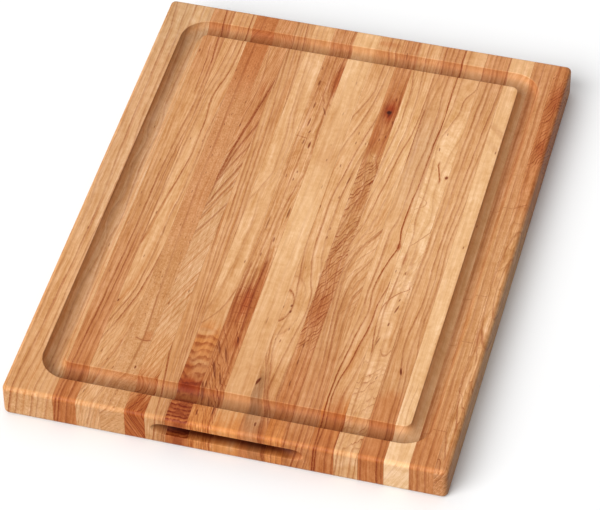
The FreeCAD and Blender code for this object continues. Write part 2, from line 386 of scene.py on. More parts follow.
FIGURES[10] = Figure(
    tones=((-250, "chestnut"), (-225, "caramel"), (-190, "tan"), (-110, "wheat"), (0, "wheat"),
        (130, "wheat"), (240, "tan")),
    lean=-0.15, specks=0.6,
    guides=(
        (0.45, ((23, 250), (23.5, 185), (16, 148), (12.5, 138), (6, 60), (8, -60), (8, -100), (9, -142),
            (19, -185), (27, -225), (30, -250))),
        (0.45, ((30, 250), (27, 170), (21, 130), (13.5, 98), (11, 50), (13, -30), (18, -75), (20.3, -96),
            (20, -117), (17, -145), (22, -185), (29, -225), (32, -250))),
        (0.5, ((36, 250), (36, 170), (33.5, 140), (28.5, 110), (24, 70), (20.3, 35), (20, 10), (21.5, -35),
            (27, -68), (32, -85), (33.5, -105), (30, -140), (26.5, -178), (25, -198), (31, -222),
            (36, -243))),
        (0.45, ((44, 250), (40, 130), (33, 95), (28, 45), (27, 0), (29, -33), (34, -65), (38, -100),
            (36, -150), (34, -190), (38, -240))),
    ),
    fibre=0.15, mottle=0.11, ripple=0.07,
    streaks=((0.5, 1.8, ((13.5, -142), (16, -165), (19, -185), (28, -225))),),
    eyes=((12.2, -104, 8.6, 19.5, 1, 0.85), (14, -104, 15, 36, 2, 0.3)),
    patches=((18, -65, 6, 16, "tan", 0.55), (17.5, -212, 6, 30, "clay", 0.9), (24, -240, 8, 18, "clay", 0.5),
        (22, 242, 12, 4, "copper", 0.8)),
    flecks=((1.0, 14.8, -194, 10, 2.8, 16), (0.85, 19.7, -103, 3.5, 2), (0.85, 20.5, -110, 3.5, 2),
        (0.6, 13.3, -106, 3, 1.5), (0.7, 17.5, 74, 5), (0.6, 23.3, 119), (0.6, 23.3, 106), (0.6, 32, 107),
        (0.7, 28.7, 57, 11, 1.2, 8), (0.6, 26.5, 35), (0.6, 12.9, 20), (0.6, 28.3, -5), (0.6, 28.3, -16),
        (0.6, 24.8, -130), (0.6, 21, -145), (0.8, 25, -241, 5, 2)),
)

FIGURES[11] = Figure(
    tones=((-250, "orange"), (-215, "copper"), (-120, "caramel"), (-80, "caramel"), (0, "fawn"), (60, "fawn"),
        (110, "copper"), (160, "copper"), (240, "caramel")),
    lean=0.0, rings=1.3, ring_depth=0.40, fibre=0.24, ripple=0.08,
    diagonals=((-140, -25, 1.9, 5.5, 1.0), (-25, 78, 1.8, 7.0, 1.0)),
    eyes=((43, 153, 7.5, 30, 2, 0.3),),
    guides=(
        (0.35, ((38, 250), (38, 170), (37, 135), (35, 90), (32, 65), (33, 0), (32, -40), (30, -120),
            (35, -170), (35.5, -250))),
        (0.40, ((43, 250), (42, 175), (39, 150), (41, 125), (37, 95), (43, 60), (44.5, 50), (41, 25),
            (36, -5), (34, -40), (37, -100), (41, -150), (41, -250))),
        (0.40, ((48, 250), (48, 180), (50, 150), (47, 120), (46, 90), (50, 78), (52, 50), (50, 12), (43, -15),
            (36, -42), (42, -80), (43, -125), (46, -160), (45.5, -250))),
        (0.35, ((53, 250), (53, 150), (52, 90), (57, 50), (56, 12), (49, -20), (46, -50), (50, -92),
            (50, -125), (51, -165), (50.5, -250))),
    ),
    streaks=((0.35, 1.2, ((52, 100), (44, 92), (35, 108))),),
    patches=((44, 155, 7, 21, "brick", 0.9), (43, 154, 5, 11, "mahogany", 0.95),
        (43, 152, 3, 3.4, "umber", 1.0), (43, -102, 9, 24, "rust", 0.6), (43, 90, 6, 6, "wheat", 0.8),
        (37.5, 120, 4, 18, "rust", 0.5), (45, 40, 7, 22, "chestnut", 0.35)),
    flecks=((1.0, 43, 152, 4.6, 4.4), (0.7, 43.6, 149, 9, 2, 8), (0.7, 45.5, 170, 5, 1.3), (0.7, 42.5, 115),
        (0.6, 47, 120), (0.7, 49, 140, 5, 1.3), (0.7, 40.5, 232, 5, 1.3), (0.6, 41, -145, 6),
        (0.6, 41, -165, 7), (0.6, 41, -190, 7)),
)

FIGURES[12] = Figure(
    tones=((-250, "copper"), (-222, "caramel"), (-190, "caramel"), (-120, "fawn"), (0, "wheat"),
        (120, "cream"), (240, "honey")),
    lean=0.2, rings=1.4, ring_depth=0.34,
    diagonals=((-95, 0, 1.9, 7.0, 0.45),),
    guides=(
        (0.40, ((50, 250), (52, 212), (56, 180), (56, 150), (54, 110), (48, 40), (42, -50), (38, -250))),
        (0.40, ((58, 250), (60, 212), (63, 165), (60, 95), (54, 50), (51, 25), (44, -50), (46, -250))),
        (0.40, ((70, 250), (71, 180), (70, 140), (66, 110), (61, 60), (56, 15), (50.5, -15), (46, -60),
            (50, -150), (53, -250))),
        (0.35, ((76, 250), (76, 140), (71, 80), (66, 40), (63, 15), (56, -15), (51, -45), (52, -100),
            (57, -170), (59, -250))),
        (0.45, ((84, 250), (83, 120), (77, 40), (72, 3), (60, -22), (54, -55), (57, -110), (62, -170),
            (64, -250))),
        (0.40, ((90, 250), (88, 100), (80, 10), (72, -33), (62, -60), (60, -90), (66, -170), (69, -250))),
        (0.35, ((96, 250), (92, 60), (84, -20), (74, -62), (66, -90), (70, -170), (74, -250))),
    ),
    streaks=((0.5, 1.4, ((74, 8), (60, -20), (50, -56))),),
)

FIGURES[13] = Figure(
    tones=((-250, "chestnut"), (-215, "orange"), (-190, "tan"), (-110, "honey"), (0, "wheat"), (120, "rose"),
        (190, "tan"), (240, "caramel")),
    lean=0.07, rings=1.3, ring_depth=0.24,
    guides=(
        (0.30, ((75, 250), (76, 215), (73, 180), (73, 150), (73, 100), (68, 40), (66, -40), (66, -250))),
        (0.30, ((81, 250), (81, 212), (77, 180), (75, 155), (76, 100), (75, 40), (72, 11), (70, -60),
            (70, -250))),
        (0.45, ((86, 250), (85, 225), (84, 190), (86, 157), (86, 125), (84, 85), (83.7, 45), (82, 15),
            (80, 5), (79.5, -30), (78, -68), (79, -88), (76.5, -128), (73, -165), (71, -250))),
        (0.80, ((92, 250), (92, 180), (93, 157), (91, 100), (91, 73), (89, 45), (88.5, 12), (91, -10),
            (86, -35), (82, -68), (84, -90), (80, -130), (77, -165), (76, -200), (78, -250))),
        (0.80, ((97, 250), (97, 100), (96, 0), (97, -30), (93.5, -60), (90, -85), (89.5, -110), (86, -135),
            (83, -160), (79.5, -180), (78.8, -200), (80.5, -230), (80, -250))),
        (0.35, ((103, 250), (102, 0), (100, -60), (97, -110), (94, -140), (90, -170), (87, -200),
            (88, -250))),
    ),
    streaks=((0.75, 2.2, ((73.5, 160), (73, 150), (73, 100), (72.5, 90))),
        (0.6, 1.8, ((75, 252), (75.5, 214))), (0.7, 1.4, ((94.6, -215), (94.3, -252)))),
    patches=((91.5, -12, 2.5, 5, "rust", 0.8), (86, -222, 8, 36, "rust", 0.6),
        (84, -150, 4, 22, "orange", 0.3), (93, 110, 3, 60, "copper", 0.35), (88, -90, 3, 40, "caramel", 0.5)),
)

FIGURES[14] = Figure(
    tones=((-250, "wheat"), (-222, "wheat"), (-120, "wheat"), (0, "ivory"), (120, "cream"), (215, "honey"),
        (240, "honey")),
    rings=1.3, ring_depth=0.20, specks=0.5, fibre=0.09, mottle=0.14, ripple=0.09,
    diagonals=((-248, -158, 1.3, 8.0, 0.5), (-60, 20, 2.4, 15.0, 0.3)),
    guides=(
        (0.35, ((97, 250), (97, 190), (95, 150), (92, 120), (90, 60), (91, 0), (92, -60), (92, -250))),
        (0.45, ((113, 225), (113, 207), (105, 183), (104.5, 168), (99, 145), (95, 125), (98, 60), (97, 30),
            (100, 0), (99, -50), (97, -90), (99, -130), (98, -250))),
        (0.25, ((118, 225), (116, 150), (108, 110), (106, 60), (110, 30), (106, 0), (106, -50), (104, -100),
            (106, -150), (104, -250))),
        (0.20, ((121, 225), (119, 100), (114, 40), (116, 0), (112, -60), (111, -150), (110, -250))),
    ),
    streaks=((0.95, 2.0, ((101.5, 95), (107, 78))), (0.5, 1.4, ((93, 54), (102, 46), (93, 36))),
        (0.6, 1.6, ((114, 12), (104, -4), (100, -10), (100, -32))),
        (0.75, 1.8, ((112, -60), (103, -68), (97, -78), (94, -95), (95, -112), (98.5, -136))),
        (0.5, 2.4, ((105, -134), (109, -140), (114, -133)))),
    patches=((112, -110, 4, 30, "honey", 0.6), (97, -72, 3, 12, "tan", 0.5), (106, -20, 5, 14, "wheat", 0.6),
        (100, -25, 2, 8, "copper", 0.6), (112, 82, 2, 4, "copper", 0.6)),
    flecks=((0.7, 97.5, 116, 5, 1.3), (0.6, 100.3, 137), (0.6, 96, -41), (0.7, 104.5, -42),
        (0.8, 107, -74, 4, 1.2, 10), (0.85, 107.3, -85, 11, 1.6, 12), (0.8, 104.3, -104, 5, 1.4, 10),
        (0.6, 100.5, -125, 11, 1.3, 10), (0.6, 109, -166, 5, 1.2, 15), (0.95, 112, 82, 4.5, 3)),
)

FIGURES[15] = Figure(
    tones=((-250, "chestnut"), (-218, "copper"), (-195, "copper"), (-165, "fawn"), (-110, "tan"),
        (0, "wheat"), (130, "honey"), (200, "fawn"), (240, "caramel")),
    lean=0.0, rings=2.0, ring_depth=0.22,
    guides=(
        (0.40, ((121, 250), (120, 210), (117, 110), (115.3, 0), (114.5, -80), (114, -250))),
        (0.40, ((125, 250), (124.5, 210), (121.5, 120), (119.5, 0), (116, -130), (117, -250))),
        (0.45, ((134, 250), (133, 210), (128, 100), (125.5, -10), (127, -70), (123, -120), (129, -165),
            (131, -250))),
        (0.35, ((137, 250), (135, 150), (131, 60), (129, 0), (131, -60), (130, -130), (134, -175),
            (135, -250))),
        (0.40, ((141, 250), (140, 130), (134.5, 40), (132.5, 0), (134.5, -50), (133, -105), (137, -140),
            (139, -250))),
    ),
    flecks=((1.0, 127.5, -154, 9, 2, -14),),
    patches=((127.5, -154, 4, 8, "copper", 0.4),),
)

FIGURES[16] = Figure(
    tones=((-250, "ivory"), (-150, "cream"), (0, "cream"), (120, "cream"), (240, "wheat")),
    lean=0.5, rings=1.6, ring_depth=0.10, specks=0.25, fibre=0.09, mottle=0.09,
    guides=(
        (0.10, ((140, 250), (140, 0), (139, -250))),
        (0.10, ((149, 250), (148, 0), (148, -250))),
    ),
    streaks=((0.24, 8.0, ((134, 161), (151, 144))), (0.16, 8.0, ((134, 142), (150, 123))),
        (0.35, 1.2, ((140.5, -170), (139.5, -197))), (0.35, 1.2, ((145, -170), (143.5, -190), (145, -217)))),
    flecks=((0.7, 147, 124, 4, 1.3), (0.7, 145.5, 1, 4, 1.3), (0.7, 152, 33, 4, 1.3)),
)

FIGURES[17] = Figure(
    tones=((-250, "copper"), (-120, "fawn"), (0, "fawn"), (130, "caramel"), (240, "caramel")),
    lean=0.0, rings=2.2, ring_depth=0.28, grit=0.07, ripple=0.07,
    guides=(
        (0.30, ((160, 250), (159, 0), (159, -250))),
        (0.40, ((165.5, 250), (165.5, 0), (165, -250))),
        (0.30, ((172, 250), (171.5, 0), (171, -250))),
    ),
    streaks=((0.35, 1.0, ((156, 58), (179, 58.5))), (0.35, 1.0, ((156, -52), (179, -51.5))),
        (0.35, 1.0, ((156, -107), (179, -107.5))), (0.35, 1.0, ((156, -210), (179, -210)))),
    patches=((168, -85, 2, 60, "orange", 0.3),),
)

FIGURES[18] = Figure(
    tones=((-250, "caramel"), (-215, "tan"), (-120, "honey"), (0, "honey"), (100, "copper"),
        (150, "chestnut"), (190, "chestnut"), (240, "copper")),
    lean=0.5, ring_depth=0.34,
    guides=(
        (0.40, ((172, 250), (172, 60), (175, 30), (172, -20), (174, -110), (172, -250))),
        (0.35, ((180, 250), (179, 190), (180, 60), (179, -25), (180, -160), (179, -250))),
        (0.30, ((187, 250), (186, 190), (188, 110), (189, 0), (188, -110), (187, -250))),
    ),
    fibre=0.28, ripple=0.08,
    diagonals=((125, 232, 2.2, 6.0, 1.0), (-246, -150, -3.2, 14.0, 0.6), (-140, 110, 2.6, 19.0, 0.35)),
    eyes=((190, -39, 11, 71, 2, 0.6),),
    streaks=((0.5, 1.5, ((177, 59), (187, 66))), (0.6, 2.0, ((178, -140), (181, -175), (186, -205))),
        (0.6, 2.0, ((176, -190), (180, -215), (184, -236))), (0.5, 1.8, ((180, -95), (185, -125)))),
    patches=((183, -100, 5, 9, "rust", 0.4), (185, 207, 5, 20, "brick", 0.55),
        (185, 140, 5, 14, "brick", 0.55)),
)


class Graph:
    """Adds shader nodes to one node tree and wires them."""

    def __init__(self, tree):
        self.tree = tree

    def node(self, kind, inputs, **settings):
        """A node with some of its inputs set to values or wired to other nodes' outputs."""
        made = self.tree.nodes.new(kind)
        for name, value in settings.items():
            setattr(made, name, value)
        for key, value in inputs.items():
            self.feed(made.inputs[key], value)
        return made

    def feed(self, socket, value):
        """Sets an input to a value, or wires it to another node's output."""
        if isinstance(value, bpy.types.NodeSocket):
            self.tree.links.new(value, socket)
        else:
            socket.default_value = value

    def math(self, operation, *values, clamp=False):
        inputs = dict(enumerate(values))
        return self.node("ShaderNodeMath", inputs, operation=operation, use_clamp=clamp).outputs[0]

    def add(self, a, b):
        return self.math("ADD", a, b)

    def less(self, a, b):
        return self.math("SUBTRACT", a, b)

    def times(self, a, b):
        return self.math("MULTIPLY", a, b)

    def times_plus(self, a, b, c):
        """a times b, plus c."""
        return self.math("MULTIPLY_ADD", a, b, c)

    def over(self, a, b):
        """1 where a is over b, 0 elsewhere."""
        return self.math("GREATER_THAN", a, b)

    def size(self, a):
        """A value without its sign."""
        return self.math("ABSOLUTE", a)

    def most(self, values):
        """The largest of several values."""
        values = list(values)
        highest = values[0]
        for value in values[1:]:
            highest = self.math("MAXIMUM", highest, value)
        return highest

    def vector(self, x, y, z):
        return self.node("ShaderNodeCombineXYZ", {0: x, 1: y, 2: z}).outputs[0]

    def stretch(self, value, low, high, to_low=0.0, to_high=1.0):
        """Eases a value from one range to another, and holds it at the ends."""
        inputs = {"Value": value, "From Min": low, "From Max": high, "To Min": to_low, "To Max": to_high}
        return self.node("ShaderNodeMapRange", inputs, interpolation_type="SMOOTHSTEP").outputs[0]

    def curve(self, value, points):
        """A smooth curve through points, level beyond its ends."""
        made = self.node("ShaderNodeFloatCurve", {"Factor": 1.0, "Value": value})
        mapping = made.mapping
        mapping.use_clip = False
        mapping.extend = "HORIZONTAL"
        line = mapping.curves[0]
        points = sorted(points)
        for place, point in zip(line.points, (points[0], points[-1])):
            place.location = point
        for point in points[1:-1]:
            line.points.new(*point)
        for place in line.points:
            place.handle_type = "AUTO_CLAMPED"
        mapping.update()
        return made.outputs[0]

    def noise(self, place, detail=2.0, roughness=0.55):
        """Smooth noise about 0, mostly between -1 and 1."""
        inputs = {"Vector": place, "Scale": 1.0, "Detail": detail, "Roughness": roughness}
        raw = self.node("ShaderNodeTexNoise", inputs, noise_dimensions="3D").outputs[0]
        return self.times_plus(raw, 4.0, -2.0)

    def grain(self, name, across, along, depth, seed):
        """One of the noises in GRAIN, which differs from stave to stave by its seed."""
        per_across, per_along, per_depth, detail, roughness = GRAIN[name]
        along = self.times_plus(along, per_along, seed)
        place = self.vector(self.times(across, per_across), along, self.times(depth, per_depth))
        return self.noise(place, detail, roughness)

    def shade(self, colour, amount, tint):
        """Multiplies a colour by a tint, as far as the amount says."""
        return self.mix("MULTIPLY", amount, colour, tint + (1.0,))

    def blend(self, colour, amount, other):
        return self.mix("MIX", amount, colour, other)

    def mix(self, kind, amount, colour, other):
        made = self.node("ShaderNodeMix", {}, data_type="RGBA", blend_type=kind)
        factor, first, second = (made.inputs[k] for k in (0, 6, 7))
        self.feed(factor, amount)
        self.feed(first, colour)
        self.feed(second, other)
        return made.outputs[2]

    def ramp(self, value, stops):
        """A colour ramp with a tone at each place from 0 to 1."""
        made = self.node("ShaderNodeValToRGB", {0: value})
        ramp = made.color_ramp
        ramp.interpolation = "EASE"
        while len(ramp.elements) < len(stops):
            ramp.elements.new(0.5)
        for element, (place, tone) in zip(ramp.elements, stops):
            element.position = place
            element.color = linear(tone)
        return made.outputs[0]


def empty_material(name):
    """A new material and the graph that fills it."""
    made = bpy.data.materials.new(name)
    made.use_nodes = True
    made.node_tree.nodes.clear()
    return made, Graph(made.node_tree)


def finish_material(g, inputs, height, depth, strength):
    """The shader, its relief and the output of a material. A height of 1 stands out by depth, in metres."""
    bump = g.node("ShaderNodeBump", {"Height": height, "Distance": depth, "Strength": strength}).outputs[0]
    shader = g.node("ShaderNodeBsdfPrincipled", {**inputs, "Normal": bump})
    g.node("ShaderNodeOutputMaterial", {"Surface": shader.outputs[0]})


def ellipse_radius(g, spot, centre, half_sizes, turn=0.0):
    """0 at a point and 1 on the ellipse around it, which may be turned by some degrees."""
    inputs = {
        "Vector": g.vector(spot.across, spot.along, 0.0),
        "Location": (*centre, 0.0),
        "Rotation": (0.0, 0.0, math.radians(turn)),
        "Scale": (*half_sizes, 1.0),
    }
    place = g.node("ShaderNodeMapping", inputs, vector_type="TEXTURE").outputs[0]
    return g.node("ShaderNodeVectorMath", {0: place}, operation="LENGTH").outputs["Value"]


def fleck_mask(g, spot, darkness, x, y, length=4.0, width=1.2, turn=0.0):
    """A small dark ellipse: a gum fleck or a knot."""
    radius = ellipse_radius(g, spot, (x, y), (width / 2, length / 2), -turn)
    return g.stretch(radius, *FLECK_RIM, 0.0, darkness)


def path_distance(g, spot, path):
    """How far to the right of a path that runs along the board a point lies."""
    return g.less(spot.across, g.curve(spot.along, [(y, x) for x, y in path]))


def line_mask(g, distance, left, right, darkness):
    """A dark line with a sharp left side and a soft right side."""
    sharp = ((-left, 0.0), (-0.3 * left, darkness))
    soft = ((0.1 * right, darkness), (0.4 * right, 0.35 * darkness), (right, 0.0))
    return g.curve(distance, sharp + soft)


def guide_line(g, distance, darkness):
    """A growth line, the thinner the darker it is."""
    soft_side = GUIDE_SOFT_SIDE - GUIDE_THINNING * darkness
    return line_mask(g, distance, GUIDE_SHARP_SIDE, soft_side, GUIDE_DEPTH * darkness)


def lengthwise_streak(g, spot, path, width, darkness):
    """A dark line that runs more along the board than across it."""
    mask = line_mask(g, path_distance(g, spot, path), width / 2, width, darkness)
    low = min(y for _, y in path)
    high = max(y for _, y in path)
    ends = ((low - STREAK_FADE, 0.0), (low, 1.0), (high, 1.0), (high + STREAK_FADE, 0.0))
    return g.times(mask, g.curve(spot.along, ends))


def crosswise_streak(g, spot, path, width, darkness):
    """A dark line that runs more across the board than along it."""
    distance = g.less(spot.along, g.curve(spot.across, path))
    half = CROSSWISE_WIDER * width / 2
    profile = ((-half, 0.0), (-0.3 * half, darkness), (0.3 * half, darkness), (half, 0.0))
    low = min(x for x, _ in path)
    high = max(x for x, _ in path)
    ends = ((low - 1.0, 0.0), (low + 0.5, 1.0), (high - 0.5, 1.0), (high + 1.0, 0.0))
    return g.times(g.curve(distance, profile), g.curve(spot.across, ends))


def streak_mask(g, spot, darkness, width, path):
    """One of a stave's own dark lines."""
    (first_x, first_y), (last_x, last_y) = path[0], path[-1]
    crosswise = abs(first_x - last_x) > 0.8 * abs(first_y - last_y)
    draw = crosswise_streak if crosswise else lengthwise_streak
    return draw(g, spot, path, width, darkness)


def ring_field(g, distances):
    """A number that rises by one from each guide line to the next."""
    field = g.math("MINIMUM", g.times(distances[0], 1 / OUTER_GAP), 0.0)
    for left, right in zip(distances, distances[1:]):
        gap = g.math("MAXIMUM", g.less(left, right), NARROWEST_GAP)
        step = g.math("DIVIDE", left, gap, clamp=True)
        field = g.add(field, step)
    last = g.math("MAXIMUM", g.times(distances[-1], 1 / OUTER_GAP), 0.0)
    return g.add(field, last)


def ring_mask(g, field, seed):
    """Growth rings: each dark edge rises slowly, ends sharply and is as dark as chance has it."""
    number = g.math("FLOOR", field)
    edge = g.curve(g.math("FRACT", field), RING_PROFILE)
    inputs = {"W": g.add(number, seed)}
    chance = g.node("ShaderNodeTexWhiteNoise", inputs, noise_dimensions="1D").outputs["Value"]
    return g.times(edge, g.stretch(chance, 0.0, 1.0, *RING_CHANCE))


def diagonal_mask(g, spot, unrest, start, end, steepness, spacing, depth):
    """Slanting lines over one stretch of a stave, each with a soft and a sharp side."""
    warp = g.noise(g.vector(g.times(spot.across, 0.09), g.times(spot.along, 0.045), steepness))
    phase = g.times_plus(spot.across, -steepness, spot.along)
    phase = g.times_plus(phase, 1 / spacing, g.times(warp, 0.9))
    lines = ring_mask(g, g.times_plus(unrest, 0.35, phase), spacing)
    inside = ((start - DIAGONAL_FADE, 0.0), (start, depth), (end, depth), (end + DIAGONAL_FADE, 0.0))
    return g.times(lines, g.curve(spot.along, inside))


def curl_mask(g, spot, seed, start, end, spacing, depth):
    """Dark bands across a curly stretch of a stave: each has a sharp lower edge, and they tilt and fade."""
    place = g.vector(g.times_plus(spot.leaning, 0.10, seed), g.times(spot.along, 0.16 / spacing), 0.0)
    phase = g.times_plus(spot.along, 1 / spacing, g.times(g.noise(place), 0.55))
    band = g.curve(g.math("FRACT", phase), CURL_PROFILE)
    place = g.vector(g.times(spot.leaning, 0.12), g.times_plus(spot.along, 0.7 / spacing, seed), 0.0)
    cloud = g.stretch(g.noise(place), -1.0, 0.5, 0.30, 1.2)
    inside = ((start, depth), (end - 12.0, depth), (end + 6.0, 0.0), (end + 8.0, 0.0))
    return g.times(g.times(band, cloud), g.curve(spot.along, inside))


def eye_mask(g, spot, x, y, half_width, half_length, lines, darkness):
    """Growth lines that close around a point."""
    radius = ellipse_radius(g, spot, (x, y), (half_width, half_length))
    radius = g.times_plus(spot.wobble, 0.05, radius)
    line = g.curve(g.math("FRACT", g.times(radius, lines)), EYE_PROFILE)
    inside = g.curve(radius, ((0.0, darkness), (1.05, darkness), (1.12, 0.0), (1.5, 0.0)))
    return g.times(line, inside)


@dataclass(frozen=True)
class Spot:
    """Where a point of a stave is: sockets in millimetres, and two noises that shift its grain."""

    x: object
    along: object
    height: object
    depth: object  # below the top
    leaning: object  # across the board, along lines that lean with the growth rings
    across: object  # the same, shifted by the noises
    wobble: object
    shiver: object


def find_spot(g, lean, seed):
    """The point that is being shaded."""
    here = g.node("ShaderNodeTexCoord", {}).outputs["Object"]
    split = g.node("ShaderNodeSeparateXYZ", {0: here})
    x, along, height = (g.times(split.outputs[k], MM) for k in range(3))
    depth = g.less(THICKNESS, height)
    wobble = g.grain("wobble", x, along, depth, seed)
    shiver = g.grain("shiver", x, along, depth, seed)
    leaning = g.times_plus(depth, lean, x)
    across = g.times_plus(wobble, WOBBLE_SHIFT, leaning)
    across = g.times_plus(shiver, SHIVER_SHIFT, across)
    return Spot(x, along, height, depth, leaning, across, wobble, shiver)


def growth(g, number, figure, spot):
    """How many guide lines lie to the left of a point, in fractions, and a mask of the guide lines."""
    if figure.guides:
        distances = [path_distance(g, spot, path) for _, path in figure.guides]
        pairs = zip(distances, figure.guides)
        lines = [guide_line(g, distance, darkness) for distance, (darkness, _) in pairs]
        return ring_field(g, distances), g.most(lines)
    steepness = g.curve(spot.along, figure.slant)
    middle = sum(corner.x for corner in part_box(f"stave_{number:02d}")) / 2 * MM
    field = g.less(spot.along, g.times(g.less(spot.across, middle), steepness))
    return g.times(field, 1 / figure.slant_spacing), None


def draw_noises(g, number, figure, spot, field, seed):
    """The noises of one stave, by name."""
    kind = "side fibre" if number in (1, len(FIGURES)) else "fibre"
    shifted = g.times_plus(spot.leaning, 0.07, seed)
    clouds = g.vector(shifted, g.times(spot.along, 0.028), g.times(spot.depth, 0.07))
    drifting = g.times_plus(spot.wobble, RIPPLE_DRIFT, spot.along)
    return {
        "unrest": g.grain("unrest", field, spot.along, 0.0, seed),
        "bands": g.grain("bands", g.times(field, figure.rings), spot.along, spot.depth, seed),
        "mottle": g.noise(clouds, 3.0),
        "fibre": g.grain(kind, spot.across, spot.along, spot.depth, seed),
        "ripple": g.grain("ripple", spot.leaning, drifting, spot.depth, seed),
        "grit": g.grain("grit", spot.leaning, spot.along, spot.depth, seed),
        "pores": g.grain("pores", spot.across, spot.along, spot.depth, seed),
    }


def ground_tone(g, figure, spot, noises):
    """The stave's tones along the board, with its patches in them."""
    length = 2 * HALF_LENGTH
    stops = [((place + HALF_LENGTH) / length, tone) for place, tone in figure.tones]
    drift = g.times_plus(noises["mottle"], MOTTLE_DRIFT, spot.along)
    drift = g.times_plus(noises["bands"], BANDS_DRIFT, drift)
    colour = g.ramp(g.times_plus(drift, 1 / length, 0.5), stops)
    for x, y, half_width, half_length, tone, amount in figure.patches:
        radius = ellipse_radius(g, spot, (x, y), (half_width, half_length))
        ragged = g.times_plus(noises["bands"], 0.26, radius)
        ragged = g.times_plus(noises["fibre"], 0.16, ragged)
        colour = g.blend(colour, g.stretch(ragged, *PATCH_RIM, 0.0, amount), linear(tone))
    return colour


def light_and_shade(g, figure, noises, end_face, colour):
    """Lightens and darkens the wood by its noises. Where it is darker it is also redder. Both end faces are
    also painted a little lighter, as painted light.
    """
    # Painted light: both end faces a little lighter.
    light = g.times_plus(end_face, 0.06, 1.0)
    light = g.times_plus(noises["bands"], BANDS_LIGHT, light)
    for name in ("mottle", "fibre", "ripple", "grit"):
        light = g.times_plus(noises[name], getattr(figure, name), light)
    shades = g.vector(light, g.math("POWER", light, GREEN_POWER), g.math("POWER", light, BLUE_POWER))
    return g.node("ShaderNodeVectorMath", {0: colour, 1: shades}, operation="MULTIPLY").outputs[0]


def mark_mask(g, figure, spot, seed, unrest, strength, guide_lines):
    """All dark lines of a stave: its growth lines, streaks, slanting and closed lines and curls."""
    marks = [g.times(guide_lines, strength)] if guide_lines else []
    marks += [streak_mask(g, spot, *streak) for streak in figure.streaks]
    for diagonal in figure.diagonals:
        marks.append(g.times(diagonal_mask(g, spot, unrest, *diagonal), strength))
    marks += [eye_mask(g, spot, *eye) for eye in figure.eyes]
    marks += [curl_mask(g, spot, seed, *curl) for curl in figure.curls]
    return g.most(marks)


def speck_mask(g, figure, spot, pores):
    """Specks scattered by chance, and the stave's own flecks."""
    begin, full = (threshold - 0.45 * figure.specks for threshold in SPECK_THRESHOLDS)
    specks = g.times(g.stretch(pores, begin, full), SPECK_DEPTH)
    return g.most([specks] + [fleck_mask(g, spot, *fleck) for fleck in figure.flecks])


def groove_mask(g, spot, aside, ahead):
    """How far a point is on the groove's cut surface."""
    inset = g.math("MINIMUM", g.less(HALF_WIDTH, aside), g.less(HALF_LENGTH, ahead))
    groove = g.stretch(inset, GROOVE_MARGIN - 1.2, GROOVE_MARGIN - 0.7)
    groove = g.times(groove, g.stretch(spot.depth, 0.1, 0.9))
    return g.times(groove, g.math("LESS_THAN", spot.depth, GROOVE_DEPTH + 0.3))


def lit_wall_mask(g, spot, aside):
    """How far a point is on a wall of the groove's long runs that faces left, towards the main lamp, where
    less painted shade is put.
    """
    middle = HALF_WIDTH - GROOVE_MARGIN - GROOVE_WIDTH / 2
    from_middle = g.less(spot.x, g.times(g.math("SIGN", spot.x), middle))
    long_run = g.over(aside, HALF_WIDTH - GROOVE_MARGIN - GROOVE_WIDTH - 1.0)
    return g.times(g.stretch(from_middle, 0.0, 9.0), long_run)


def slot_mask(g, spot, ahead):
    """How far a point is inside a finger slot."""
    middle = g.times(g.math("SIGN", spot.along), -SLOT_OFFSET_X)
    off_middle = g.size(g.less(spot.x, middle))
    slot = g.math("LESS_THAN", off_middle, SLOT_REACH + 0.8)
    slot = g.times(slot, g.math("LESS_THAN", spot.height, SLOT_TOP))
    slot = g.times(slot, g.over(spot.height, SLOT_BOTTOM))
    slot = g.times(slot, g.over(ahead, HALF_LENGTH - GROOVE_MARGIN))
    return g.times(slot, g.stretch(g.less(HALF_LENGTH, ahead), 0.3, 3.0))


def cut_masks(g, spot):
    """How far a point is on a cut surface (for its tone and painted shade), how near the groove's floor and
    how deep in a slot (for painted shade).
    """
    aside = g.size(spot.x)
    ahead = g.size(spot.along)
    groove = groove_mask(g, spot, aside, ahead)
    slot = slot_mask(g, spot, ahead)
    # The groove's floor gets more of the tone and painted shade.
    floor = g.times(groove, g.stretch(spot.depth, 0.45 * GROOVE_DEPTH, 0.95 * GROOVE_DEPTH))
    # Painted shade inside the finger slots, darkest at the back.
    deep = g.times(slot, g.stretch(g.less(HALF_LENGTH, ahead), 0.5, 9.0))
    # Walls facing the main lamp keep little of the painted shade, so they look lit.
    lit_wall = g.times(lit_wall_mask(g, spot, aside), LIT_WALL_SHADE_LOSS)
    groove = g.times(groove, g.less(1.0, lit_wall))
    return g.math("MAXIMUM", groove, slot), floor, deep


def edge_mask(g, spot):
    """1 along the middle of the rounded outer edges, 0 on the flat faces."""
    aside = g.less(HALF_WIDTH, g.size(spot.x))
    ahead = g.less(HALF_LENGTH, g.size(spot.along))
    up = g.math("MINIMUM", spot.height, g.less(THICKNESS, spot.height))
    gaps = [g.times(gap, 1 / EDGE_RADIUS) for gap in (aside, ahead, up)]
    turned = [g.math("SUBTRACT", 1.0, gap, clamp=True) for gap in gaps]
    pairs = [g.times(turned[first], turned[second]) for first, second in ((0, 1), (1, 2), (0, 2))]
    return g.stretch(g.most(pairs), 0.05, 0.5)


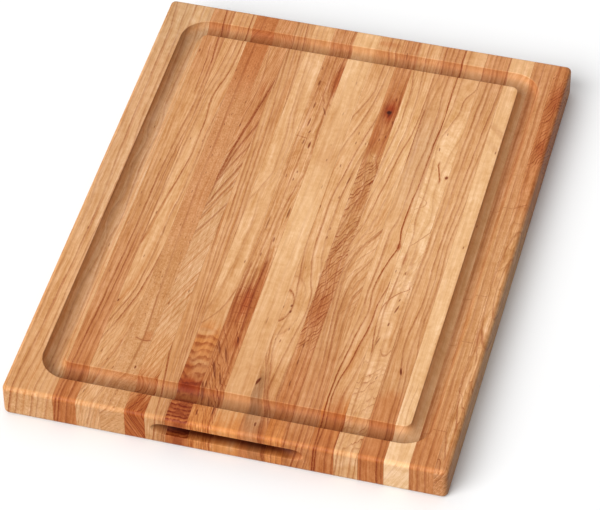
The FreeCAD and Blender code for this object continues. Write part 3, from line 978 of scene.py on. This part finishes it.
def draw_figure(g, figure, spot, seed, growth_lines, noises, strength, colour):
    """Draws rings, lines and flecks on the wood. Also gives the masks that its relief follows."""
    field, guide_lines = growth_lines
    unrest = noises["unrest"]
    ring_count = g.times(field, figure.rings)
    fine_count = g.times(field, FINE_RINGS * figure.rings)
    rings = ring_mask(g, g.times_plus(unrest, 0.30, ring_count), seed)
    fine_rings = ring_mask(g, g.times_plus(unrest, 0.5, fine_count), seed + 5.0)
    colour = g.shade(colour, g.times(g.times(rings, strength), figure.ring_depth), LATE_WOOD)
    colour = g.shade(colour, g.times(g.times(fine_rings, strength), 0.9 * figure.ring_depth), LATE_WOOD)
    marks = mark_mask(g, figure, spot, seed, unrest, strength, guide_lines)
    dotted = g.stretch(noises["grit"], -1.3, 0.9, 0.5, 1.2)
    colour = g.shade(colour, g.times(marks, dotted), DEEP_LINE)
    specks = speck_mask(g, figure, spot, noises["pores"])
    return g.shade(colour, specks, FLECK), rings, specks


def cut_tone_and_painted_light(g, spot, ripple, colour):
    """Tints the cut surfaces with their own darker tone and painted shade, paints shade deep in the slots,
    and lightens the rounded edges for wear and as a painted highlight. Also gives the masks that the
    roughness follows.
    """
    cut, cut_floor, slot_shade = cut_masks(g, spot)
    # Wear and a painted highlight along the rounded edges, broken up by the ripple noise.
    wear_and_highlight = g.times(edge_mask(g, spot), g.stretch(ripple, -1.2, 0.8, 0.3, 1.0))
    tints = ((cut, CUT_TONE_AND_SHADE), (cut_floor, GROOVE_FLOOR_TONE_AND_SHADE), (slot_shade, SLOT_PAINTED_SHADE), (wear_and_highlight, EDGE_WEAR_AND_HIGHLIGHT))
    for mask, tint in tints:
        colour = g.shade(colour, mask, tint)
    return colour, cut, wear_and_highlight


def wood(number, figure):
    """The wood of one stave. Its end faces show the figure more strongly and are painted a little lighter, as
    painted light.
    """
    made, g = empty_material(f"stave_{number:02d}_wood")
    seed = SEED_STEP * number
    spot = find_spot(g, figure.lean, seed)
    growth_lines = growth(g, number, figure, spot)
    noises = draw_noises(g, number, figure, spot, growth_lines[0], seed)
    end_face = g.stretch(g.size(spot.along), HALF_LENGTH - 2.0, HALF_LENGTH - 0.3)
    strength = g.add(noises["unrest"], g.times(spot.shiver, 0.4))
    strength = g.times_plus(end_face, 0.35, g.stretch(strength, -1.3, 1.2, 0.40, 1.40))
    fibre = g.times(noises["fibre"], g.times_plus(end_face, 0.2, 1.0))
    noises["fibre"] = fibre

    colour = ground_tone(g, figure, spot, noises)
    colour = light_and_shade(g, figure, noises, end_face, colour)
    colour, rings, specks = draw_figure(g, figure, spot, seed, growth_lines, noises, strength, colour)
    colour, cut, wear_and_highlight = cut_tone_and_painted_light(g, spot, noises["ripple"], colour)

    roughness = g.times_plus(fibre, 0.05, WOOD_ROUGHNESS)
    roughness = g.times_plus(wear_and_highlight, -0.08, roughness)
    roughness = g.times_plus(cut, 0.06, roughness)
    height = g.times_plus(fibre, 0.35, g.times(rings, -0.35))
    height = g.less(height, g.times(specks, 0.8))
    inputs = {"Base Color": colour, "Roughness": roughness, "IOR": 1.45, "Specular IOR Level": 0.2}
    finish_material(g, inputs, height, WOOD_RELIEF, 0.5)
    return made


def glue():
    """Dried glue: dark brown, with paler and darker stretches."""
    made, g = empty_material("glue_film")
    here = g.node("ShaderNodeTexCoord", {}).outputs["Object"]
    place = g.node("ShaderNodeVectorMath", {0: here, 1: GLUE_CLOUDS}, operation="MULTIPLY").outputs[0]
    uneven = g.noise(place, 3.0)
    colour = g.blend(linear("umber"), g.stretch(uneven, -1.0, 1.0), linear("chestnut"))
    roughness = g.times_plus(uneven, 0.08, GLUE_ROUGHNESS)
    inputs = {"Base Color": colour, "Roughness": roughness, "IOR": 1.47}
    finish_material(g, inputs, uneven, GLUE_RELIEF, 0.4)
    return made


def paint(node, material):
    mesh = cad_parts[node].data
    mesh.materials.clear()
    mesh.materials.append(material)


def finish_board():
    for number, figure in FIGURES.items():
        paint(f"stave_{number:02d}", wood(number, figure))
    film = glue()
    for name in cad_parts:
        if name.startswith("glue_line"):
            paint(name, film)


def add_floor():
    """A plain white floor."""
    half = FLOOR_SIZE / 2
    corners = [(-half, -half, 0), (half, -half, 0), (half, half, 0), (-half, half, 0)]
    mesh = bpy.data.meshes.new("floor")
    mesh.from_pydata(corners, [], [(0, 1, 2, 3)])
    floor = bpy.data.objects.new("floor", mesh)
    bpy.context.scene.collection.objects.link(floor)
    white = bpy.data.materials.new("floor_white")
    white.use_nodes = True
    shader = white.node_tree.nodes["Principled BSDF"]
    shader.inputs["Base Color"].default_value = (FLOOR_WHITE, FLOOR_WHITE, FLOOR_WHITE, 1.0)
    shader.inputs["Roughness"].default_value = FLOOR_ROUGHNESS
    shader.inputs["Specular IOR Level"].default_value = 0.0
    mesh.materials.append(white)
    floor.visible_diffuse = False


def add_lights():
    """The white surround and the lamps."""
    world = bpy.data.worlds.new("surround")
    world.use_nodes = True
    world.node_tree.nodes["Background"].inputs["Color"].default_value = (1.0, 1.0, 1.0, 1.0)
    world.node_tree.nodes["Background"].inputs["Strength"].default_value = SURROUND_STRENGTH
    bpy.context.scene.world = world
    for name, (towards, spread, strength) in LIGHTS.items():
        data = bpy.data.lights.new(name, "SUN")
        data.angle = spread
        data.energy = strength * math.pi
        lamp = bpy.data.objects.new(name, data)
        lamp.rotation_mode = "QUATERNION"
        lamp.rotation_quaternion = (-towards).to_track_quat("-Z", "Y")
        bpy.context.scene.collection.objects.link(lamp)


def add_camera():
    """The camera, with the whole board in view."""
    data = bpy.data.cameras.new("camera")
    data.lens = LENS
    camera = bpy.data.objects.new("camera", data)
    back = Vector((
        math.sin(VIEW_AZIMUTH) * math.cos(VIEW_ELEVATION),
        -math.cos(VIEW_AZIMUTH) * math.cos(VIEW_ELEVATION),
        math.sin(VIEW_ELEVATION),
    ))
    camera.location = VIEW_TARGET + back * VIEW_DISTANCE
    camera.rotation_mode = "QUATERNION"
    level = (-back).to_track_quat("-Z", "Y")
    camera.rotation_quaternion = level @ Quaternion((0.0, 0.0, 1.0), VIEW_ROLL)
    data.clip_start = 0.1
    data.clip_end = 50.0
    bpy.context.scene.collection.objects.link(camera)
    bpy.context.scene.camera = camera


finish_board()
add_floor()
add_lights()
add_camera()
bpy.context.scene.view_settings.view_transform = "Standard"
